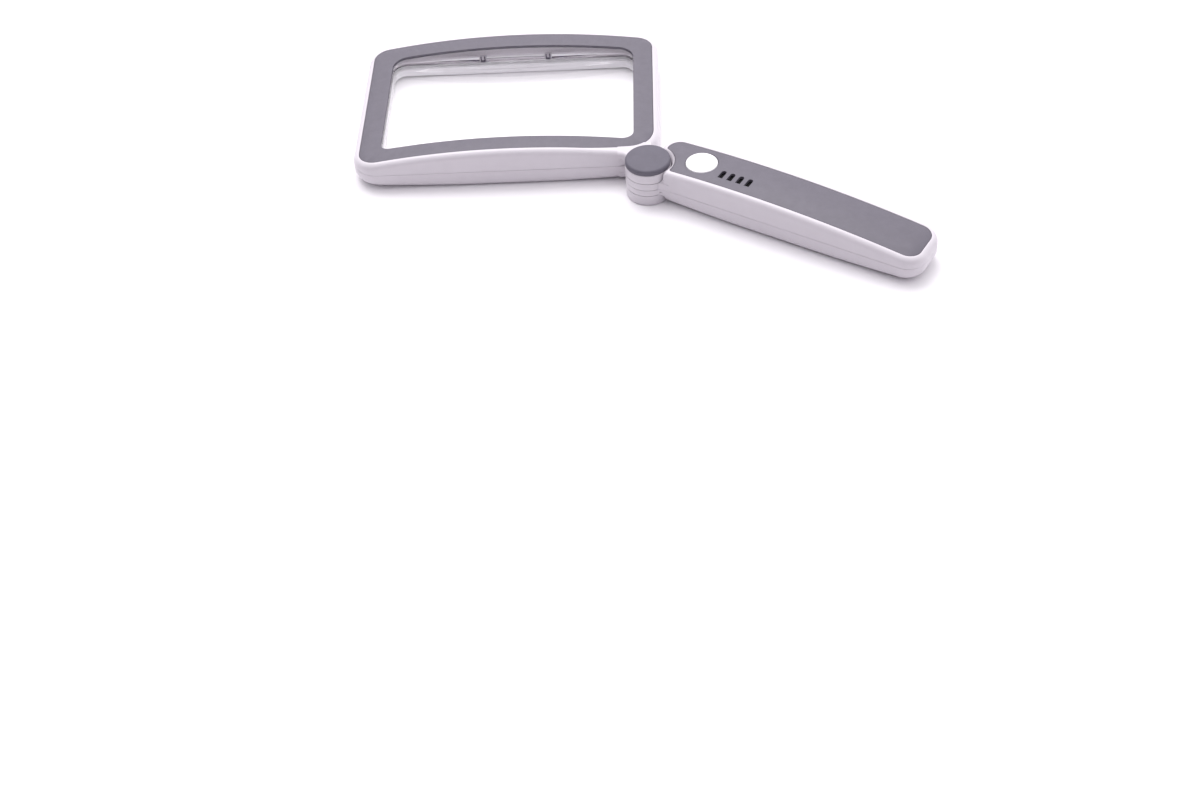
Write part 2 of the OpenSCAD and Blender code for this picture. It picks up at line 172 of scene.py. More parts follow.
def bezel_line(d=0.0):
    """The bezel's outer edge moved in by d: it draws away from the rim towards the hinge."""
    pivot = (HEAD_X1 - HEAD_R[1], HEAD_Y0 + HEAD_R[1])
    sweep = (SWEEP_X, HEAD_Y0 + RIM + SWEEP_R)
    near_r, corner_r = SWEEP_R - d, HEAD_R[1] - RIM - d
    round_r = SWEEP_ROUND - d
    # centre of the round between the long sweep and the corner, which it touches on the inside
    a, b, apart = near_r - round_r, corner_r - round_r, math.dist(sweep, pivot)
    along = (a * a - b * b + apart * apart) / (2 * apart)
    off = math.sqrt(max(a * a - along * along, 0))
    ux, uy = (pivot[0] - sweep[0]) / apart, (pivot[1] - sweep[1]) / apart
    mid_c = (sweep[0] + ux * along - uy * off, sweep[1] + uy * along + ux * off)
    lean = math.atan2(mid_c[1] - sweep[1], mid_c[0] - sweep[0])
    touch = (sweep[0] + near_r * math.cos(lean), sweep[1] + near_r * math.sin(lean))
    first = math.atan2(touch[1] - pivot[1], touch[0] - pivot[0])
    last = math.atan2(mid_c[1] - pivot[1], mid_c[0] - pivot[0])
    out = []
    for x, y in head_line(RIM + d):
        if SWEEP_X < x <= pivot[0] and y < pivot[1]:
            y = max(y, sweep[1] - math.sqrt(near_r ** 2 - (x - sweep[0]) ** 2))
        elif x > pivot[0] and y < pivot[1]:
            u = ((x - pivot[0]) / corner_r, (y - pivot[1]) / corner_r)
            t = min(corner_r, far_hit(pivot, u, sweep, near_r))
            if first < math.atan2(u[1], u[0]) < last:
                t = min(t, far_hit(pivot, u, mid_c, round_r))
            x, y = pivot[0] + u[0] * t, pivot[1] + u[1] * t
        out.append((x, y))
    return out


def handle_line(d=0.0, notch=NOTCH_R, near_r=1.2, far_r=1.5, radii=(8.0, 8.0, 7.5)):
    """The handle's outline moved in by d, with a round bite for the barrel and rounded horns."""
    x0, y0, x1, y1 = 0.1 + d, NEAR_N + d, REACH - d, FAR_N - d
    r1, r2, r3 = [max(r - d, 1.0) for r in radii]
    near_c = (math.sqrt((notch + near_r) ** 2 - (y0 + near_r) ** 2), y0 + near_r)
    far_c = (x0 + far_r, math.sqrt((notch + far_r) ** 2 - (x0 + far_r) ** 2))
    far_a = math.degrees(math.atan2(far_c[1], far_c[0]))
    near_a = math.degrees(math.atan2(near_c[1], near_c[0]))
    pts = span((near_c[0], y0), (x1 - r1, y0), SIDE)
    pts += arc((x1 - r1, y0 + r1), r1, -90, 0, CORNER)
    pts += span((x1, y0 + r1), (x1, y1 - r2), 8)
    pts += arc((x1 - r2, y1 - r2), r2, 0, 90, CORNER)
    pts += span((x1 - r2, y1), (x0 + r3, y1), SIDE)
    pts += arc((x0 + r3, y1 - r3), r3, 90, 180, CORNER)
    pts += span((x0, y1 - r3), (x0, far_c[1]), 2)
    pts += arc(far_c, far_r, 180, 180 + far_a, 10)
    pts += arc((0, 0), notch, far_a, near_a, 24)
    pts += arc(near_c, near_r, 180 + near_a, 270, 10)
    return pts


def panel_line(d=0.0):
    """The grip panel's outline moved in by d."""
    return handle_line(RIM + d, NOTCH_R + 1.25 + d, 1.2 - d * 0.5, 1.5 - d * 0.5,
                       (5.5 + RIM, 5.5 + RIM, 5.0 + RIM))


# ---- mesh making: solids are lofted flat, cut, sliced across and then arched ----

def top_of(x, mid, top, r):
    """Height at x of an arch of radius r whose crown is at (mid, top)."""
    return top - r + math.sqrt(r * r - (x - mid) ** 2)


def loft(rings, ends=False):
    """A closed solid through rings of (outline, height). ends closes the first and last ring with faces;
    otherwise the last ring joins the first."""
    bm = bmesh.new()
    rows = []
    for line, z in rings:
        rows.append([bm.verts.new((x, y, z)) for x, y in line])
    n = len(rows[0])
    pairs = list(zip(rows, rows[1:])) + ([] if ends else [(rows[-1], rows[0])])
    for a, b in pairs:
        for i in range(n):
            j = (i + 1) % n
            bm.faces.new((a[i], a[j], b[j], b[i]))
    if ends:
        bm.faces.new(list(reversed(rows[0])))
        bm.faces.new(rows[-1])
    bmesh.ops.remove_doubles(bm, verts=bm.verts, dist=1e-5)
    bmesh.ops.recalc_face_normals(bm, faces=bm.faces)
    return bm


def lathe(profile, closed=True, centre=(0, 0)):
    """A solid turned from (radius, height) points; a radius of 0 closes it on the axis."""
    bm = bmesh.new()
    rows = []
    n = 96
    for r, z in profile:
        if r < 1e-6:
            rows.append([bm.verts.new((centre[0], centre[1], z))])
        else:
            rows.append([bm.verts.new((centre[0] + r * math.cos(TAU * i / n),
                                       centre[1] + r * math.sin(TAU * i / n), z)) for i in range(n)])
    pairs = list(zip(rows, rows[1:])) + ([(rows[-1], rows[0])] if closed else [])
    for a, b in pairs:
        for i in range(n):
            j = (i + 1) % n
            loop = [a[i % len(a)], a[j % len(a)], b[j % len(b)], b[i % len(b)]]
            seen = list(dict.fromkeys(loop))
            if len(seen) > 2:
                bm.faces.new(seen)
    bmesh.ops.recalc_face_normals(bm, faces=bm.faces)
    return bm


def slice_across(bm, x0, x1, step=BEND):
    """Adds cross edges at every step along X so that flat faces can bend."""
    x = x0 + step / 2
    while x < x1:
        geom = list(bm.verts) + list(bm.edges) + list(bm.faces)
        bmesh.ops.bisect_plane(bm, geom=geom, dist=1e-4, plane_co=(x, 0, 0), plane_no=(1, 0, 0))
        x += step


def warp(bm, shift):
    """Raises every vertex by shift(x, z)."""
    for v in bm.verts:
        v.co.z += shift(v.co.x, v.co.z)


def join(*parts):
    """One bmesh holding the meshes of all parts. The parts are used up."""
    out = bmesh.new()
    for p in parts:
        me = bpy.data.meshes.new("joined")
        p.to_mesh(me)
        out.from_mesh(me)
        p.free()
        bpy.data.meshes.remove(me)
    return out


def as_object(bm, name, turn=0.0, smooth_angle=34):
    """bm, in millimetres, as a shown object in metres, turned about the hinge axis."""
    me = bpy.data.meshes.new(name)
    bmesh.ops.transform(bm, matrix=Matrix.Rotation(turn, 4, "Z") @ Matrix.Scale(MM, 4), verts=bm.verts)
    bm.to_mesh(me)
    bm.free()
    obj = bpy.data.objects.new(name, me)
    bpy.context.scene.collection.objects.link(obj)
    me.shade_smooth()
    me.set_sharp_from_angle(angle=math.radians(smooth_angle))
    return obj


def cut(bm, cutter):
    """bm cut by another bmesh, as a new bmesh. Both are used up."""
    objs = []
    for b, name in ((bm, "body_tmp"), (cutter, "cutter_tmp")):
        me = bpy.data.meshes.new(name)
        b.to_mesh(me)
        b.free()
        o = bpy.data.objects.new(name, me)
        bpy.context.scene.collection.objects.link(o)
        objs.append(o)
    mod = objs[0].modifiers.new("bool", "BOOLEAN")
    mod.operation, mod.solver, mod.object = "DIFFERENCE", "EXACT", objs[1]
    done = objs[0].evaluated_get(bpy.context.evaluated_depsgraph_get()).to_mesh()
    out = bmesh.new()
    out.from_mesh(done)
    for o in objs:
        me = o.data
        bpy.data.objects.remove(o)
        bpy.data.meshes.remove(me)
    return out


def quarter(a, b, n):
    """(inward, from the top) pairs of a rounded edge a wide and b high, from the wall to the top."""
    turns = [math.pi / 2 * i / n for i in range(n + 1)]
    return [(a * (1 - math.cos(t)), b * (1 - math.sin(t))) for t in turns]


def under(a, b, n):
    """(inward, height) pairs of a rounded lower edge, from its lowest line to the wall."""
    return quarter(a, b, n)[::-1]


def mix_lines(a, b, f):
    """Outline a moved towards outline b by the share f."""
    return [(p[0] + (q[0] - p[0]) * f, p[1] + (q[1] - p[1]) * f) for p, q in zip(a, b)]


def step_in(a, b, width):
    """Outline a moved towards outline b by width, but never past b."""
    out = []
    for p, q in zip(a, b):
        d = math.hypot(q[0] - p[0], q[1] - p[1])
        f = min(width / d, 1.0) if d > 1e-9 else 0.0
        out.append((p[0] + (q[0] - p[0]) * f, p[1] + (q[1] - p[1]) * f))
    return out


# ---- materials ----

def material(name, colour, rough, bump=0.0, bump_scale=3000, mottle=0.03, **extra):
    """Moulded plastic, metal or rubber: fine texture in the colour, the roughness and the surface."""
    m = bpy.data.materials.new(name)
    m.use_nodes = True
    nt = m.node_tree
    shader = nt.nodes["Principled BSDF"]
    where = nt.nodes.new("ShaderNodeTexCoord").outputs["Object"]

    def noise(scale, detail=3.0):
        n = nt.nodes.new("ShaderNodeTexNoise")
        n.inputs["Scale"].default_value = scale
        n.inputs["Detail"].default_value = detail
        n.inputs["Roughness"].default_value = 0.55
        nt.links.new(where, n.inputs["Vector"])
        return n.outputs["Fac"]

    def ramp(fac, a, b):
        r = nt.nodes.new("ShaderNodeValToRGB")
        r.color_ramp.elements[0].position, r.color_ramp.elements[1].position = 0.3, 0.7
        r.color_ramp.elements[0].color, r.color_ramp.elements[1].color = a, b
        nt.links.new(fac, r.inputs["Fac"])
        return r.outputs["Color"]

    dark = tuple(c * (1 - mottle) for c in colour) + (1,)
    light = tuple(min(c * (1 + mottle), 1) for c in colour) + (1,)
    nt.links.new(ramp(noise(260), dark, light), shader.inputs["Base Color"])
    nt.links.new(ramp(noise(900), (rough - 0.04,) * 3 + (1,), (rough + 0.05,) * 3 + (1,)),
                 shader.inputs["Roughness"])
    if bump:
        b = nt.nodes.new("ShaderNodeBump")
        b.inputs["Strength"].default_value = bump
        b.inputs["Distance"].default_value = 0.00005
        nt.links.new(noise(bump_scale, 2.0), b.inputs["Height"])
        nt.links.new(b.outputs["Normal"], shader.inputs["Normal"])
    for key, value in extra.items():
        shader.inputs[key.replace("_", " ")].default_value = value
    return m


def clear(name, ior=1.49):
    """Clear acrylic that lets light rays straight through, so that it casts no dark shadow."""
    m = material(name, (0.985, 0.985, 0.99), 0.045, mottle=0.004)
    nt = m.node_tree
    shader = nt.nodes["Principled BSDF"]
    shader.inputs["Transmission Weight"].default_value = 1.0
    shader.inputs["IOR"].default_value = ior
    for link in list(shader.inputs["Roughness"].links):
        nt.links.remove(link)
    shader.inputs["Roughness"].default_value = 0.0
    out = nt.nodes["Material Output"]
    path = nt.nodes.new("ShaderNodeLightPath")
    either = nt.nodes.new("ShaderNodeMath")
    either.operation = "MAXIMUM"
    through = nt.nodes.new("ShaderNodeBsdfTransparent")
    mix = nt.nodes.new("ShaderNodeMixShader")
    nt.links.new(path.outputs["Is Shadow Ray"], either.inputs[0])
    nt.links.new(path.outputs["Is Diffuse Ray"], either.inputs[1])
    nt.links.new(either.outputs[0], mix.inputs["Fac"])
    nt.links.new(shader.outputs["BSDF"], mix.inputs[1])
    nt.links.new(through.outputs["BSDF"], mix.inputs[2])
    nt.links.new(mix.outputs["Shader"], out.inputs["Surface"])
    return m


WHITE = material("white_plastic", (0.645, 0.61, 0.655), 0.34, bump=0.12, mottle=0.012)
WHITE_GLOSS = material("white_button", (0.86, 0.85, 0.865), 0.22, bump=0.05, mottle=0.01)
GREY = material("grey_soft_plastic", (0.127, 0.117, 0.146), 0.50, bump=0.5, bump_scale=2600, mottle=0.05)
CAP = material("grey_cap_plastic", (0.127, 0.119, 0.149), 0.50, bump=0.4, bump_scale=2600, mottle=0.05,
               Specular_IOR_Level=0.25)
CLEAR = clear("clear_acrylic", ior=1.15)
LENS = clear("lens_acrylic")
# painted light: a brighter copy of the white plastic for the shaded wall round the lens
WELL_PAINTED_LIGHT = material("white_painted_light", (0.94, 0.93, 0.95), 0.15, mottle=0.006)
SMOKED = material("smoked_window", (0.004, 0.004, 0.005), 0.5, mottle=0.2, Specular_IOR_Level=0.1)
GASKET = material("pale_gasket", (0.90, 0.89, 0.91), 0.5, bump=0.4, mottle=0.05)
# painted highlight: bright wedges that stand in for highlight streaks in the clear liner
PAINTED_HIGHLIGHT_STRIP = material("painted_highlight_strip", (0.93, 0.92, 0.95), 0.12, mottle=0.02)
# dark plastic of the diode clips, also used for the painted shadow strips under the highlight strips
CLIP_AND_PAINTED_SHADOW = material("diode_clip_and_painted_shadow", (0.07, 0.06, 0.09), 0.25, mottle=0.3)
BOARD = material("green_board", (0.02, 0.12, 0.05), 0.35, bump=0.3, mottle=0.25)
LED = material("led_resin", (0.52, 0.49, 0.54), 0.25, mottle=0.08)
RIBBON = material("amber_ribbon", (0.45, 0.18, 0.04), 0.3, mottle=0.12)
LEAD = material("red_lead", (0.5, 0.03, 0.02), 0.4, bump=0.2, mottle=0.08)
STEEL = material("bright_steel", (0.62, 0.61, 0.60), 0.28, bump=0.25, mottle=0.06, Metallic=1.0)
DARK = material("black_switch", (0.02, 0.02, 0.022), 0.4, bump=0.3, mottle=0.15)
RED = material("red_plunger", (0.55, 0.04, 0.03), 0.35, mottle=0.05)
CELL = material("cell_jacket", (0.05, 0.12, 0.28), 0.3, mottle=0.08)

SLOT_MATERIALS = {
    "white_shell": WHITE, "grey_skin": GREY, "white_button": WHITE_GLOSS, "clear_acrylic": CLEAR,
    "lens_acrylic": LENS, "gasket": GASKET, "board": BOARD, "led": LED, "ribbon": RIBBON, "lead": LEAD,
    "screw_steel": STEEL, "pin_steel": STEEL, "switch_body": DARK, "plunger": RED,
    "smoked_window": SMOKED, "cell_jacket": CELL, "contact": STEEL,
}


def piece(obj, body, finish, mat, *nodes):
    """Gives obj its material, the body it rides on and the CAD nodes it replaces; finish is not used."""
    obj.data.materials.clear()
    obj.data.materials.append(mat)
    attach(obj, body)
    if nodes:
        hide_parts(*nodes)
    return obj


# ---- head ----

def head_drop(x, z):
    """Everything over the parting line follows the arched top."""
    return top_of(x, HEAD_XM, 0.0, HEAD_ARCH) if z > PART + 0.2 else 0.0


def belly_rise(x, z, mid):
    """Everything near the underside rises towards both ends."""
    if z > 5.0:
        return 0.0
    rise = BELLY_R - BELLY_CUT - math.sqrt(BELLY_R ** 2 - (x - mid) ** 2)
    return max(rise, 0.0)


def knuckle(z0, z1, low=0.12, high=0.12, cup=None):
    """A ring of the barrel with softened outer edges."""
    pts = [(PIN_HOLE, z0), (BARREL_R - low, z0)]
    pts += [(BARREL_R - low + low * math.sin(t), z0 + low - low * math.cos(t)) for t in SOFT]
    pts += [(BARREL_R, z0 + low), (BARREL_R, z1 - high)]
    pts += [(BARREL_R - high + high * math.cos(t), z1 - high + high * math.sin(t)) for t in SOFT]
    pts += [(BARREL_R - high, z1)]
    if cup:
        pts += [(cup[0], z1), (cup[0], cup[1]), (PIN_HOLE, cup[1])]
    else:
        pts += [(PIN_HOLE, z1)]
    return lathe(pts)


def neck_line(grow=0.0):
    """Plan of the web between the barrel and the head's near right corner, its hollow widened by grow."""
    fillet = 2.6
    yc = HEAD_Y0 - fillet
    xc = -math.sqrt((BARREL_R + fillet) ** 2 - yc ** 2)
    a = math.degrees(math.atan2(-yc, -xc))
    hollow = arc((xc, yc), fillet + grow, 90, a, 14)
    hub = arc((0, 0), 6.0, 150, 60, 8)
    right = [(2.6, 8.9), (1.9, 10.2), (1.4, 12.0), (1.3, 17.0)]
    return hollow + hub + right + [(xc - 1.5, HEAD_Y0 + 6.0), (xc - 1.5, HEAD_Y0 + grow)]


def filler(z0, z1):
    """Fills between the head's corner and the handle's knuckles, clear of the handle's swing."""
    line = [(-11.5, HEAD_Y0), (-9.6, HEAD_Y0), (-8.2, 7.5)] + arc((0, 0), NOTCH_R, 133, 74, 14)
    line += [(2.4, 9.6), (1.4, 12.0), (1.3, 17.0), (-11.5, HEAD_Y0 + 4.0)]
    return loft([(line, z0), (line, z1)], ends=True)


# upper shell: rounded rim, seat for the bezel, slot for the liner
rim_in = RIM - 0.1
rings = [(head_line(SEAM_IN), PART + SEAM_GAP), (head_line(), PART + SEAM_H)]
edge = head_line()
seat = bezel_line()
rings += [(step_in(edge, seat, w), HEAD_TOP - d) for w, d in quarter(rim_in, DROP, 9)]
rings += [(step_in(edge, seat, RIM - 0.02), HEAD_TOP - 0.01), (mix_lines(edge, seat, 0.985), HEAD_TOP - 0.03)]
slot_wall = LINER_SLOT + WELL_WALL
rings += [(seat, HEAD_TOP - 0.16), (seat, HEAD_TOP - SKIN), (window_line(LINER_SLOT), HEAD_TOP - SKIN),
          (window_line(LINER_SLOT), PART + SEAM_GAP), (window_line(slot_wall), PART + SEAM_GAP),
          (window_line(slot_wall), HEAD_TOP - SKIN - DECK), (head_line(WALL), HEAD_TOP - SKIN - DECK),
          (head_line(WALL), PART + SEAM_GAP)]
bm = loft(rings)
slice_across(bm, HEAD_X0, HEAD_X1)
warp(bm, head_drop)
rings = [(neck_line(), KNUCKLES[1] + GAP)]
rings += [(neck_line(w), HEAD_TOP - 0.04 - d) for w, d in quarter(2.0, 1.3, 7)]
web = loft(rings, ends=True)
slice_across(web, -13, 2, 1.5)
warp(web, lambda x, z: head_drop(x, z) if z > 12 else 0.0)
bm = join(bm, knuckle(KNUCKLES[1] + GAP, BARREL_TOP, high=0.3, cup=CUP), web,
          filler(9.1, KNUCKLES[1] + GAP + 0.2))
piece(as_object(bm, "head_upper_shell"), "head", "white_shell", WHITE, "head_top_shell")

# lower shell: rounded underside and the well that the lens sits in
well = WELL_OUT + WELL_WALL
rings = [(head_line(w), z) for w, z in under(FOOT, FOOT, 8)]
rings += [(head_line(), PART - SEAM_H), (head_line(SEAM_IN), PART - SEAM_GAP),
          (head_line(WALL), PART - SEAM_GAP), (head_line(WALL), WALL), (window_line(well), WALL),
          (window_line(well), PART - 0.05), (window_line(WELL_OUT), PART - 0.05),
          (window_line(WELL_OUT), LEDGE), (window_line(), LEDGE), (window_line(), 0.4),
          (window_line(0.4), 0.0)]
bm = loft(rings)
slice_across(bm, HEAD_X0, HEAD_X1)
warp(bm, lambda x, z: belly_rise(x, z, HEAD_XM))
rings = [(neck_line(w), 0.8 + z) for w, z in under(2.2, 2.8, 7)]
web = loft(rings + [(neck_line(), KNUCKLES[0] - GAP)], ends=True)
bm = join(bm, knuckle(0.0, KNUCKLES[0] - GAP, low=0.7), web, filler(KNUCKLES[0] - GAP - 0.2, PART - 0.02))
lower_shell = piece(as_object(bm, "head_lower_shell"), "head", "white_shell", WHITE, "head_bottom_shell")
# the wall round the lens gets a brighter, glossier copy of the white plastic: painted light, so that it reads
# lit though it stands in shade
lower_shell.data.materials.append(WELL_PAINTED_LIGHT)
reach = WELL_OUT + 0.1
for face in lower_shell.data.polygons:
    x, y, z = [c / MM for c in face.center]
    if WIN[0] - reach < x < WIN[2] + reach and WIN[1] - reach < y < WIN[3] + reach and z > 0.3:
        face.material_index = 1

# bezel
rings = [(bezel_line(GROOVE), HEAD_TOP - SKIN + 0.02), (bezel_line(GROOVE), HEAD_TOP - 0.28),
         (bezel_line(GROOVE + 0.08), HEAD_TOP - 0.09), (bezel_line(GROOVE + 0.28), HEAD_TOP),
         (window_line(0.45), HEAD_TOP), (window_line(0.16), HEAD_TOP - 0.08),
         (window_line(0.02), HEAD_TOP - 0.3), (window_line(), HEAD_TOP - SKIN + 0.02)]
bm = loft(rings)
slice_across(bm, HEAD_X0, HEAD_X1)
warp(bm, head_drop)
piece(as_object(bm, "bezel"), "head", "grey_skin", GREY, "lens_bezel")

# clear liner: a wall over the lens with a stepped inner face, and beside the diodes tapered strips painted as
# highlight streaks
top_z = HEAD_TOP - SKIN - 0.05
rings = [(window_line(LINER_OUT), LENS_TOP + 0.1), (window_line(LINER_OUT), top_z),
         (window_line(0.75), top_z), (window_line(0.75), STEP + 0.55), (window_line(0.55), STEP + 0.3),
         (window_line(0.3), STEP + 0.2), (window_line(0.25), STEP), (window_line(0.25), LENS_TOP + 0.5),
         (window_line(0.1), LENS_TOP + 0.1)]
bm = loft(rings)
slice_across(bm, HEAD_X0, HEAD_X1)


def liner_drop(x, z):
    """The liner's top follows the arch, its foot stays flat, and the step lies between them."""
    share = min(max((z - LENS_TOP - 0.5) / (top_z - LENS_TOP - 0.5), 0.0), 1.0)
    return head_drop(x, z) * share


warp(bm, liner_drop)
piece(as_object(bm, "clear_liner_ring"), "head", "clear_acrylic", CLEAR, "clear_liner")


def liner_streak(x0, x1, y, inward, h0, h1, drop=0.0, depth=0.45):
    """A thin wedge along the liner's step, from height h0 at x0 to h1 at x1, its face turned up; it makes
    both the painted highlight strips and the painted shadow strips.
    """
    bm = bmesh.new()
    rows = []
    steps = 16
    for i in range(steps + 1):
        f = i / steps
        x = x0 + (x1 - x0) * f
        h = h0 + (h1 - h0) * f
        z = STEP - 0.25 + liner_drop(x, STEP) - drop * h / h0
        t = inward * depth * h / h0
        rows.append([bm.verts.new(p) for p in ((x, y, z), (x, y + t, z - 0.8 * h), (x, y + t * 0.9, z - h),
                                               (x, y, z - h))])
    for a, b in zip(rows, rows[1:]):
        for k in range(4):
            m = (k + 1) % 4
            bm.faces.new((a[k], a[m], b[m], b[k]))
    bm.faces.new(rows[0])
    bm.faces.new(list(reversed(rows[-1])))
    bmesh.ops.recalc_face_normals(bm, faces=bm.faces)
    return bm


def diode_frame(x, y, inward):
    """Small clip moulded round each diode: two posts and a sill."""
    parts = []
    for dx, w, z0, z1 in ((-0.8, 0.5, 9.9, 12.3), (0.8, 0.5, 9.9, 12.3), (0.0, 1.9, 9.7, 10.4)):
        y0, y1 = sorted((y, y + inward * 0.5))
        line = rounded(x + dx - w / 2, y0, x + dx + w / 2, y1, (0.1,) * 4)
        parts.append(loft([(line, z0), (line, z1)], ends=True))
    return join(*parts)


# each painted highlight strip has a dark strip of painted shadow under it; the outer pairs taper, the one
# between the diodes doesn't
BESIDE, TIP = 1.6, 0.06
strips, clips_and_shadow_strips = [], []
for y, inward in ((WIN[3] + 0.26, -1), (WIN[1] - 0.26, 1)):
    for x0, x1 in ((LED_X[0] - BESIDE, WIN[0] + 3.0), (LED_X[1] + BESIDE, WIN[2] - 4.0)):
        strips.append(liner_streak(x0, x1, y, inward, 0.85, TIP))
        clips_and_shadow_strips.append(liner_streak(x0, x0 + (x1 - x0) * 0.8, y, inward, 0.8, TIP, 0.85, 0.42))
    strips.append(liner_streak(LED_X[0] + BESIDE, LED_X[1] - BESIDE, y, inward, 0.35, 0.35))
    clips_and_shadow_strips.append(liner_streak(LED_X[0] + BESIDE, LED_X[1] - BESIDE, y, inward, 0.3, 0.3, 0.3, 0.4))
    clips_and_shadow_strips += [diode_frame(x, y, inward) for x in LED_X]
piece(as_object(join(*strips), "painted_highlight_strips"), "head", "clear_acrylic", PAINTED_HIGHLIGHT_STRIP)
piece(as_object(join(*clips_and_shadow_strips), "diode_clips_and_painted_shadow"), "head", "clear_acrylic", CLIP_AND_PAINTED_SHADOW)

# lens: flat on top, with a flange under the liner, and domed below
mid = ((WIN[0] + WIN[2]) / 2, (WIN[1] + WIN[3]) / 2)
half = math.hypot(WIN[2] - WIN[0], WIN[3] - WIN[1]) / 2


def dome(x, y):
    """Depth of the domed lower face at (x, y): SAG in the middle, 0 at the window's corners."""
    r = (half * half + SAG * SAG) / (2 * SAG)
    return math.sqrt(r * r - (x - mid[0]) ** 2 - (y - mid[1]) ** 2) - (r - SAG)


def lens_mesh():
    """The lens as rings from the middle of its top, round the flange, to the middle of its dome."""
    bm = bmesh.new()
    inner = window_line(-0.4)
    steps = 22
    centre = [mid] * len(inner)
    rows = [[(x, y, LENS_TOP) for x, y in line] for line in (mix_lines(inner, centre, 0.5), inner)]
    for line, z in ((window_line(LINER_OUT - 0.1), LENS_TOP), (window_line(LINER_OUT), LENS_TOP - 0.1),
                    (window_line(LINER_OUT), PART - 0.1), (window_line(FLANGE_OUT), PART - 0.1),
                    (window_line(FLANGE_OUT), LENS_Z0), (inner, LENS_Z0)):
        rows.append([(x, y, z) for x, y in line])
    for k in range(steps):
        line = mix_lines(inner, centre, k / steps)
        rows.append([(x, y, LENS_Z0 - (dome(x, y) if k else 0.0)) for x, y in line])
    verts = [[bm.verts.new(p) for p in row] for row in rows]
    n = len(inner)
    for a, b in zip(verts, verts[1:]):
        for i in range(n):
            j = (i + 1) % n
            bm.faces.new((a[i], a[j], b[j], b[i]))
    for row, z in ((verts[0], LENS_TOP), (verts[-1], LENS_Z0 - SAG)):
        tip = bm.verts.new((mid[0], mid[1], z))
        for i in range(n):
            bm.faces.new((row[i], row[(i + 1) % n], tip))
    bmesh.ops.remove_doubles(bm, verts=bm.verts, dist=1e-5)
    bmesh.ops.recalc_face_normals(bm, faces=bm.faces)
    return bm


piece(as_object(lens_mesh(), "magnifying_lens"), "head", "lens_acrylic", LENS, "lens")

# ---- hinge cap ----

cap_r, cap_top, cap_round = 9.22, BARREL_TOP + 2.33, 1.0
pts = [(0, BARREL_TOP + 0.02), (cap_r - 0.12, BARREL_TOP + 0.02), (cap_r, BARREL_TOP + 0.12)]
pts += [(cap_r - w, cap_top - d) for w, d in quarter(cap_round, cap_round, 8)]
pts += [(4.0, cap_top + 0.02), (0, cap_top + 0.03)]
cap = lathe(pts, closed=False)
skirt_r = CUP[0] - 0.1
skirt = lathe([(skirt_r - 1.0, BARREL_TOP - 0.7), (skirt_r, BARREL_TOP - 0.7),
               (skirt_r, BARREL_TOP + 0.1), (skirt_r - 1.0, BARREL_TOP + 0.1)])
piece(as_object(join(cap, skirt), "barrel_cap"), "head", "grey_skin", CAP, "hinge_cap")

# ---- handle, drawn along X and turned to its angle ----

def handle_drop(s, z):
    """Everything over the parting line follows the handle's arched top."""
    return top_of(s, CROWN_S, 0.0, HANDLE_ARCH) if z > PART + 0.2 else 0.0


def tongue(z0, z1):
    """Web between the two middle knuckles and the handle, hollowed where it meets the wall."""
    near = arc((8.9, -7.6), 2.6, 150, 90, 10)
    line = [(0, 0), (6.0, -6.6)] + near
    line += [(12.0, -4.9), (12.6, NEAR_N + 0.05), (14.0, 8.0), (6.0, 12.0), (2.0, 11.0)]
    return loft([(line, z0), (line, z1)], ends=True)


def flare(z0, z1):
    """Hollow flare that widens the tongue into the handle's corner, clear of the head's knuckles."""
    rings = []
    steps = 8
    for k in range(steps + 1):
        f = k / steps
        low = -(18.5 + 17 * (1 - f) ** 2)
        line = arc((0, 0), NOTCH_R, -6, low, 10)
        start = (NOTCH_R * math.cos(math.radians(low)), NOTCH_R * math.sin(math.radians(low)))
        z = z0 + (z1 - z0) * f
        sink = HEEL - math.sqrt(HEEL ** 2 - max(HEEL - z, 0) ** 2)
        bend, end = (9.9 - 0.2 * f, -4.75 + 0.2 * f + sink), (12.6, NEAR_N + 0.02 + sink)
        for i in range(9):
            g = i / 8
            line.append([(1 - g) ** 2 * a + 2 * g * (1 - g) * b + g * g * c
                         for a, b, c in zip(start, bend, end)])
        line += [(14.0, NEAR_N + 0.1 + sink), (14.0, -1.0)]
        rings.append((line, z))
    bm = loft(rings, ends=True)
    warp(bm, lambda s, z: belly_rise(s, z, HANDLE_SM))
    return bm


def bar_line(grow=0.0):
    """Plan of the dark window behind the slots."""
    x, y = SLOT_AT[0] - 1.8 - grow, SLOT_AT[1] - 2.7 - grow
    run = (SLOTS - 1) * SLOT_PITCH
    return rounded(x, y, x + run + 3.6 + 2 * grow, y + 5.4 + 2 * grow, (0.6,) * 4)


# upper shell, open for the button and the dark window
edge, seat = handle_line(), panel_line()
seam = handle_line(SEAM_IN, NOTCH_R + SEAM_IN)
rings = [(seam, PART + SEAM_GAP), (edge, PART + SEAM_H)]
rings += [(step_in(edge, seat, w), HANDLE_TOP - d) for w, d in quarter(rim_in, DROP, 9)]
rings += [(mix_lines(edge, seat, 0.985), HANDLE_TOP - 0.03), (seat, HANDLE_TOP - 0.16),
          (seat, HANDLE_TOP - SKIN)]
inner = handle_line(WALL, NOTCH_R + WALL, 1.0, 1.0)
solid = loft(rings, ends=True)
hollow = loft([(inner, PART - 1), (inner, HANDLE_TOP - SKIN - DECK)], ends=True)
bm = cut(solid, hollow)
hole_r = BUTTON_R + 0.4
bm = cut(bm, lathe([(0, 10), (hole_r, 10), (hole_r, 30), (0, 30)], closed=False, centre=BUTTON))
bm = cut(bm, loft([(bar_line(0.2), 10), (bar_line(0.2), 30)], ends=True))
slice_across(bm, 0, REACH)
warp(bm, handle_drop)
top = KNUCKLES[1] - GAP
bm = join(bm, knuckle(PART + 0.04, top), tongue(PART + 0.04, top), flare(top - 0.05, 13.4))
piece(as_object(bm, "handle_upper_shell", HANDLE_ANGLE), "handle", "white_shell", WHITE, "handle_top_shell")

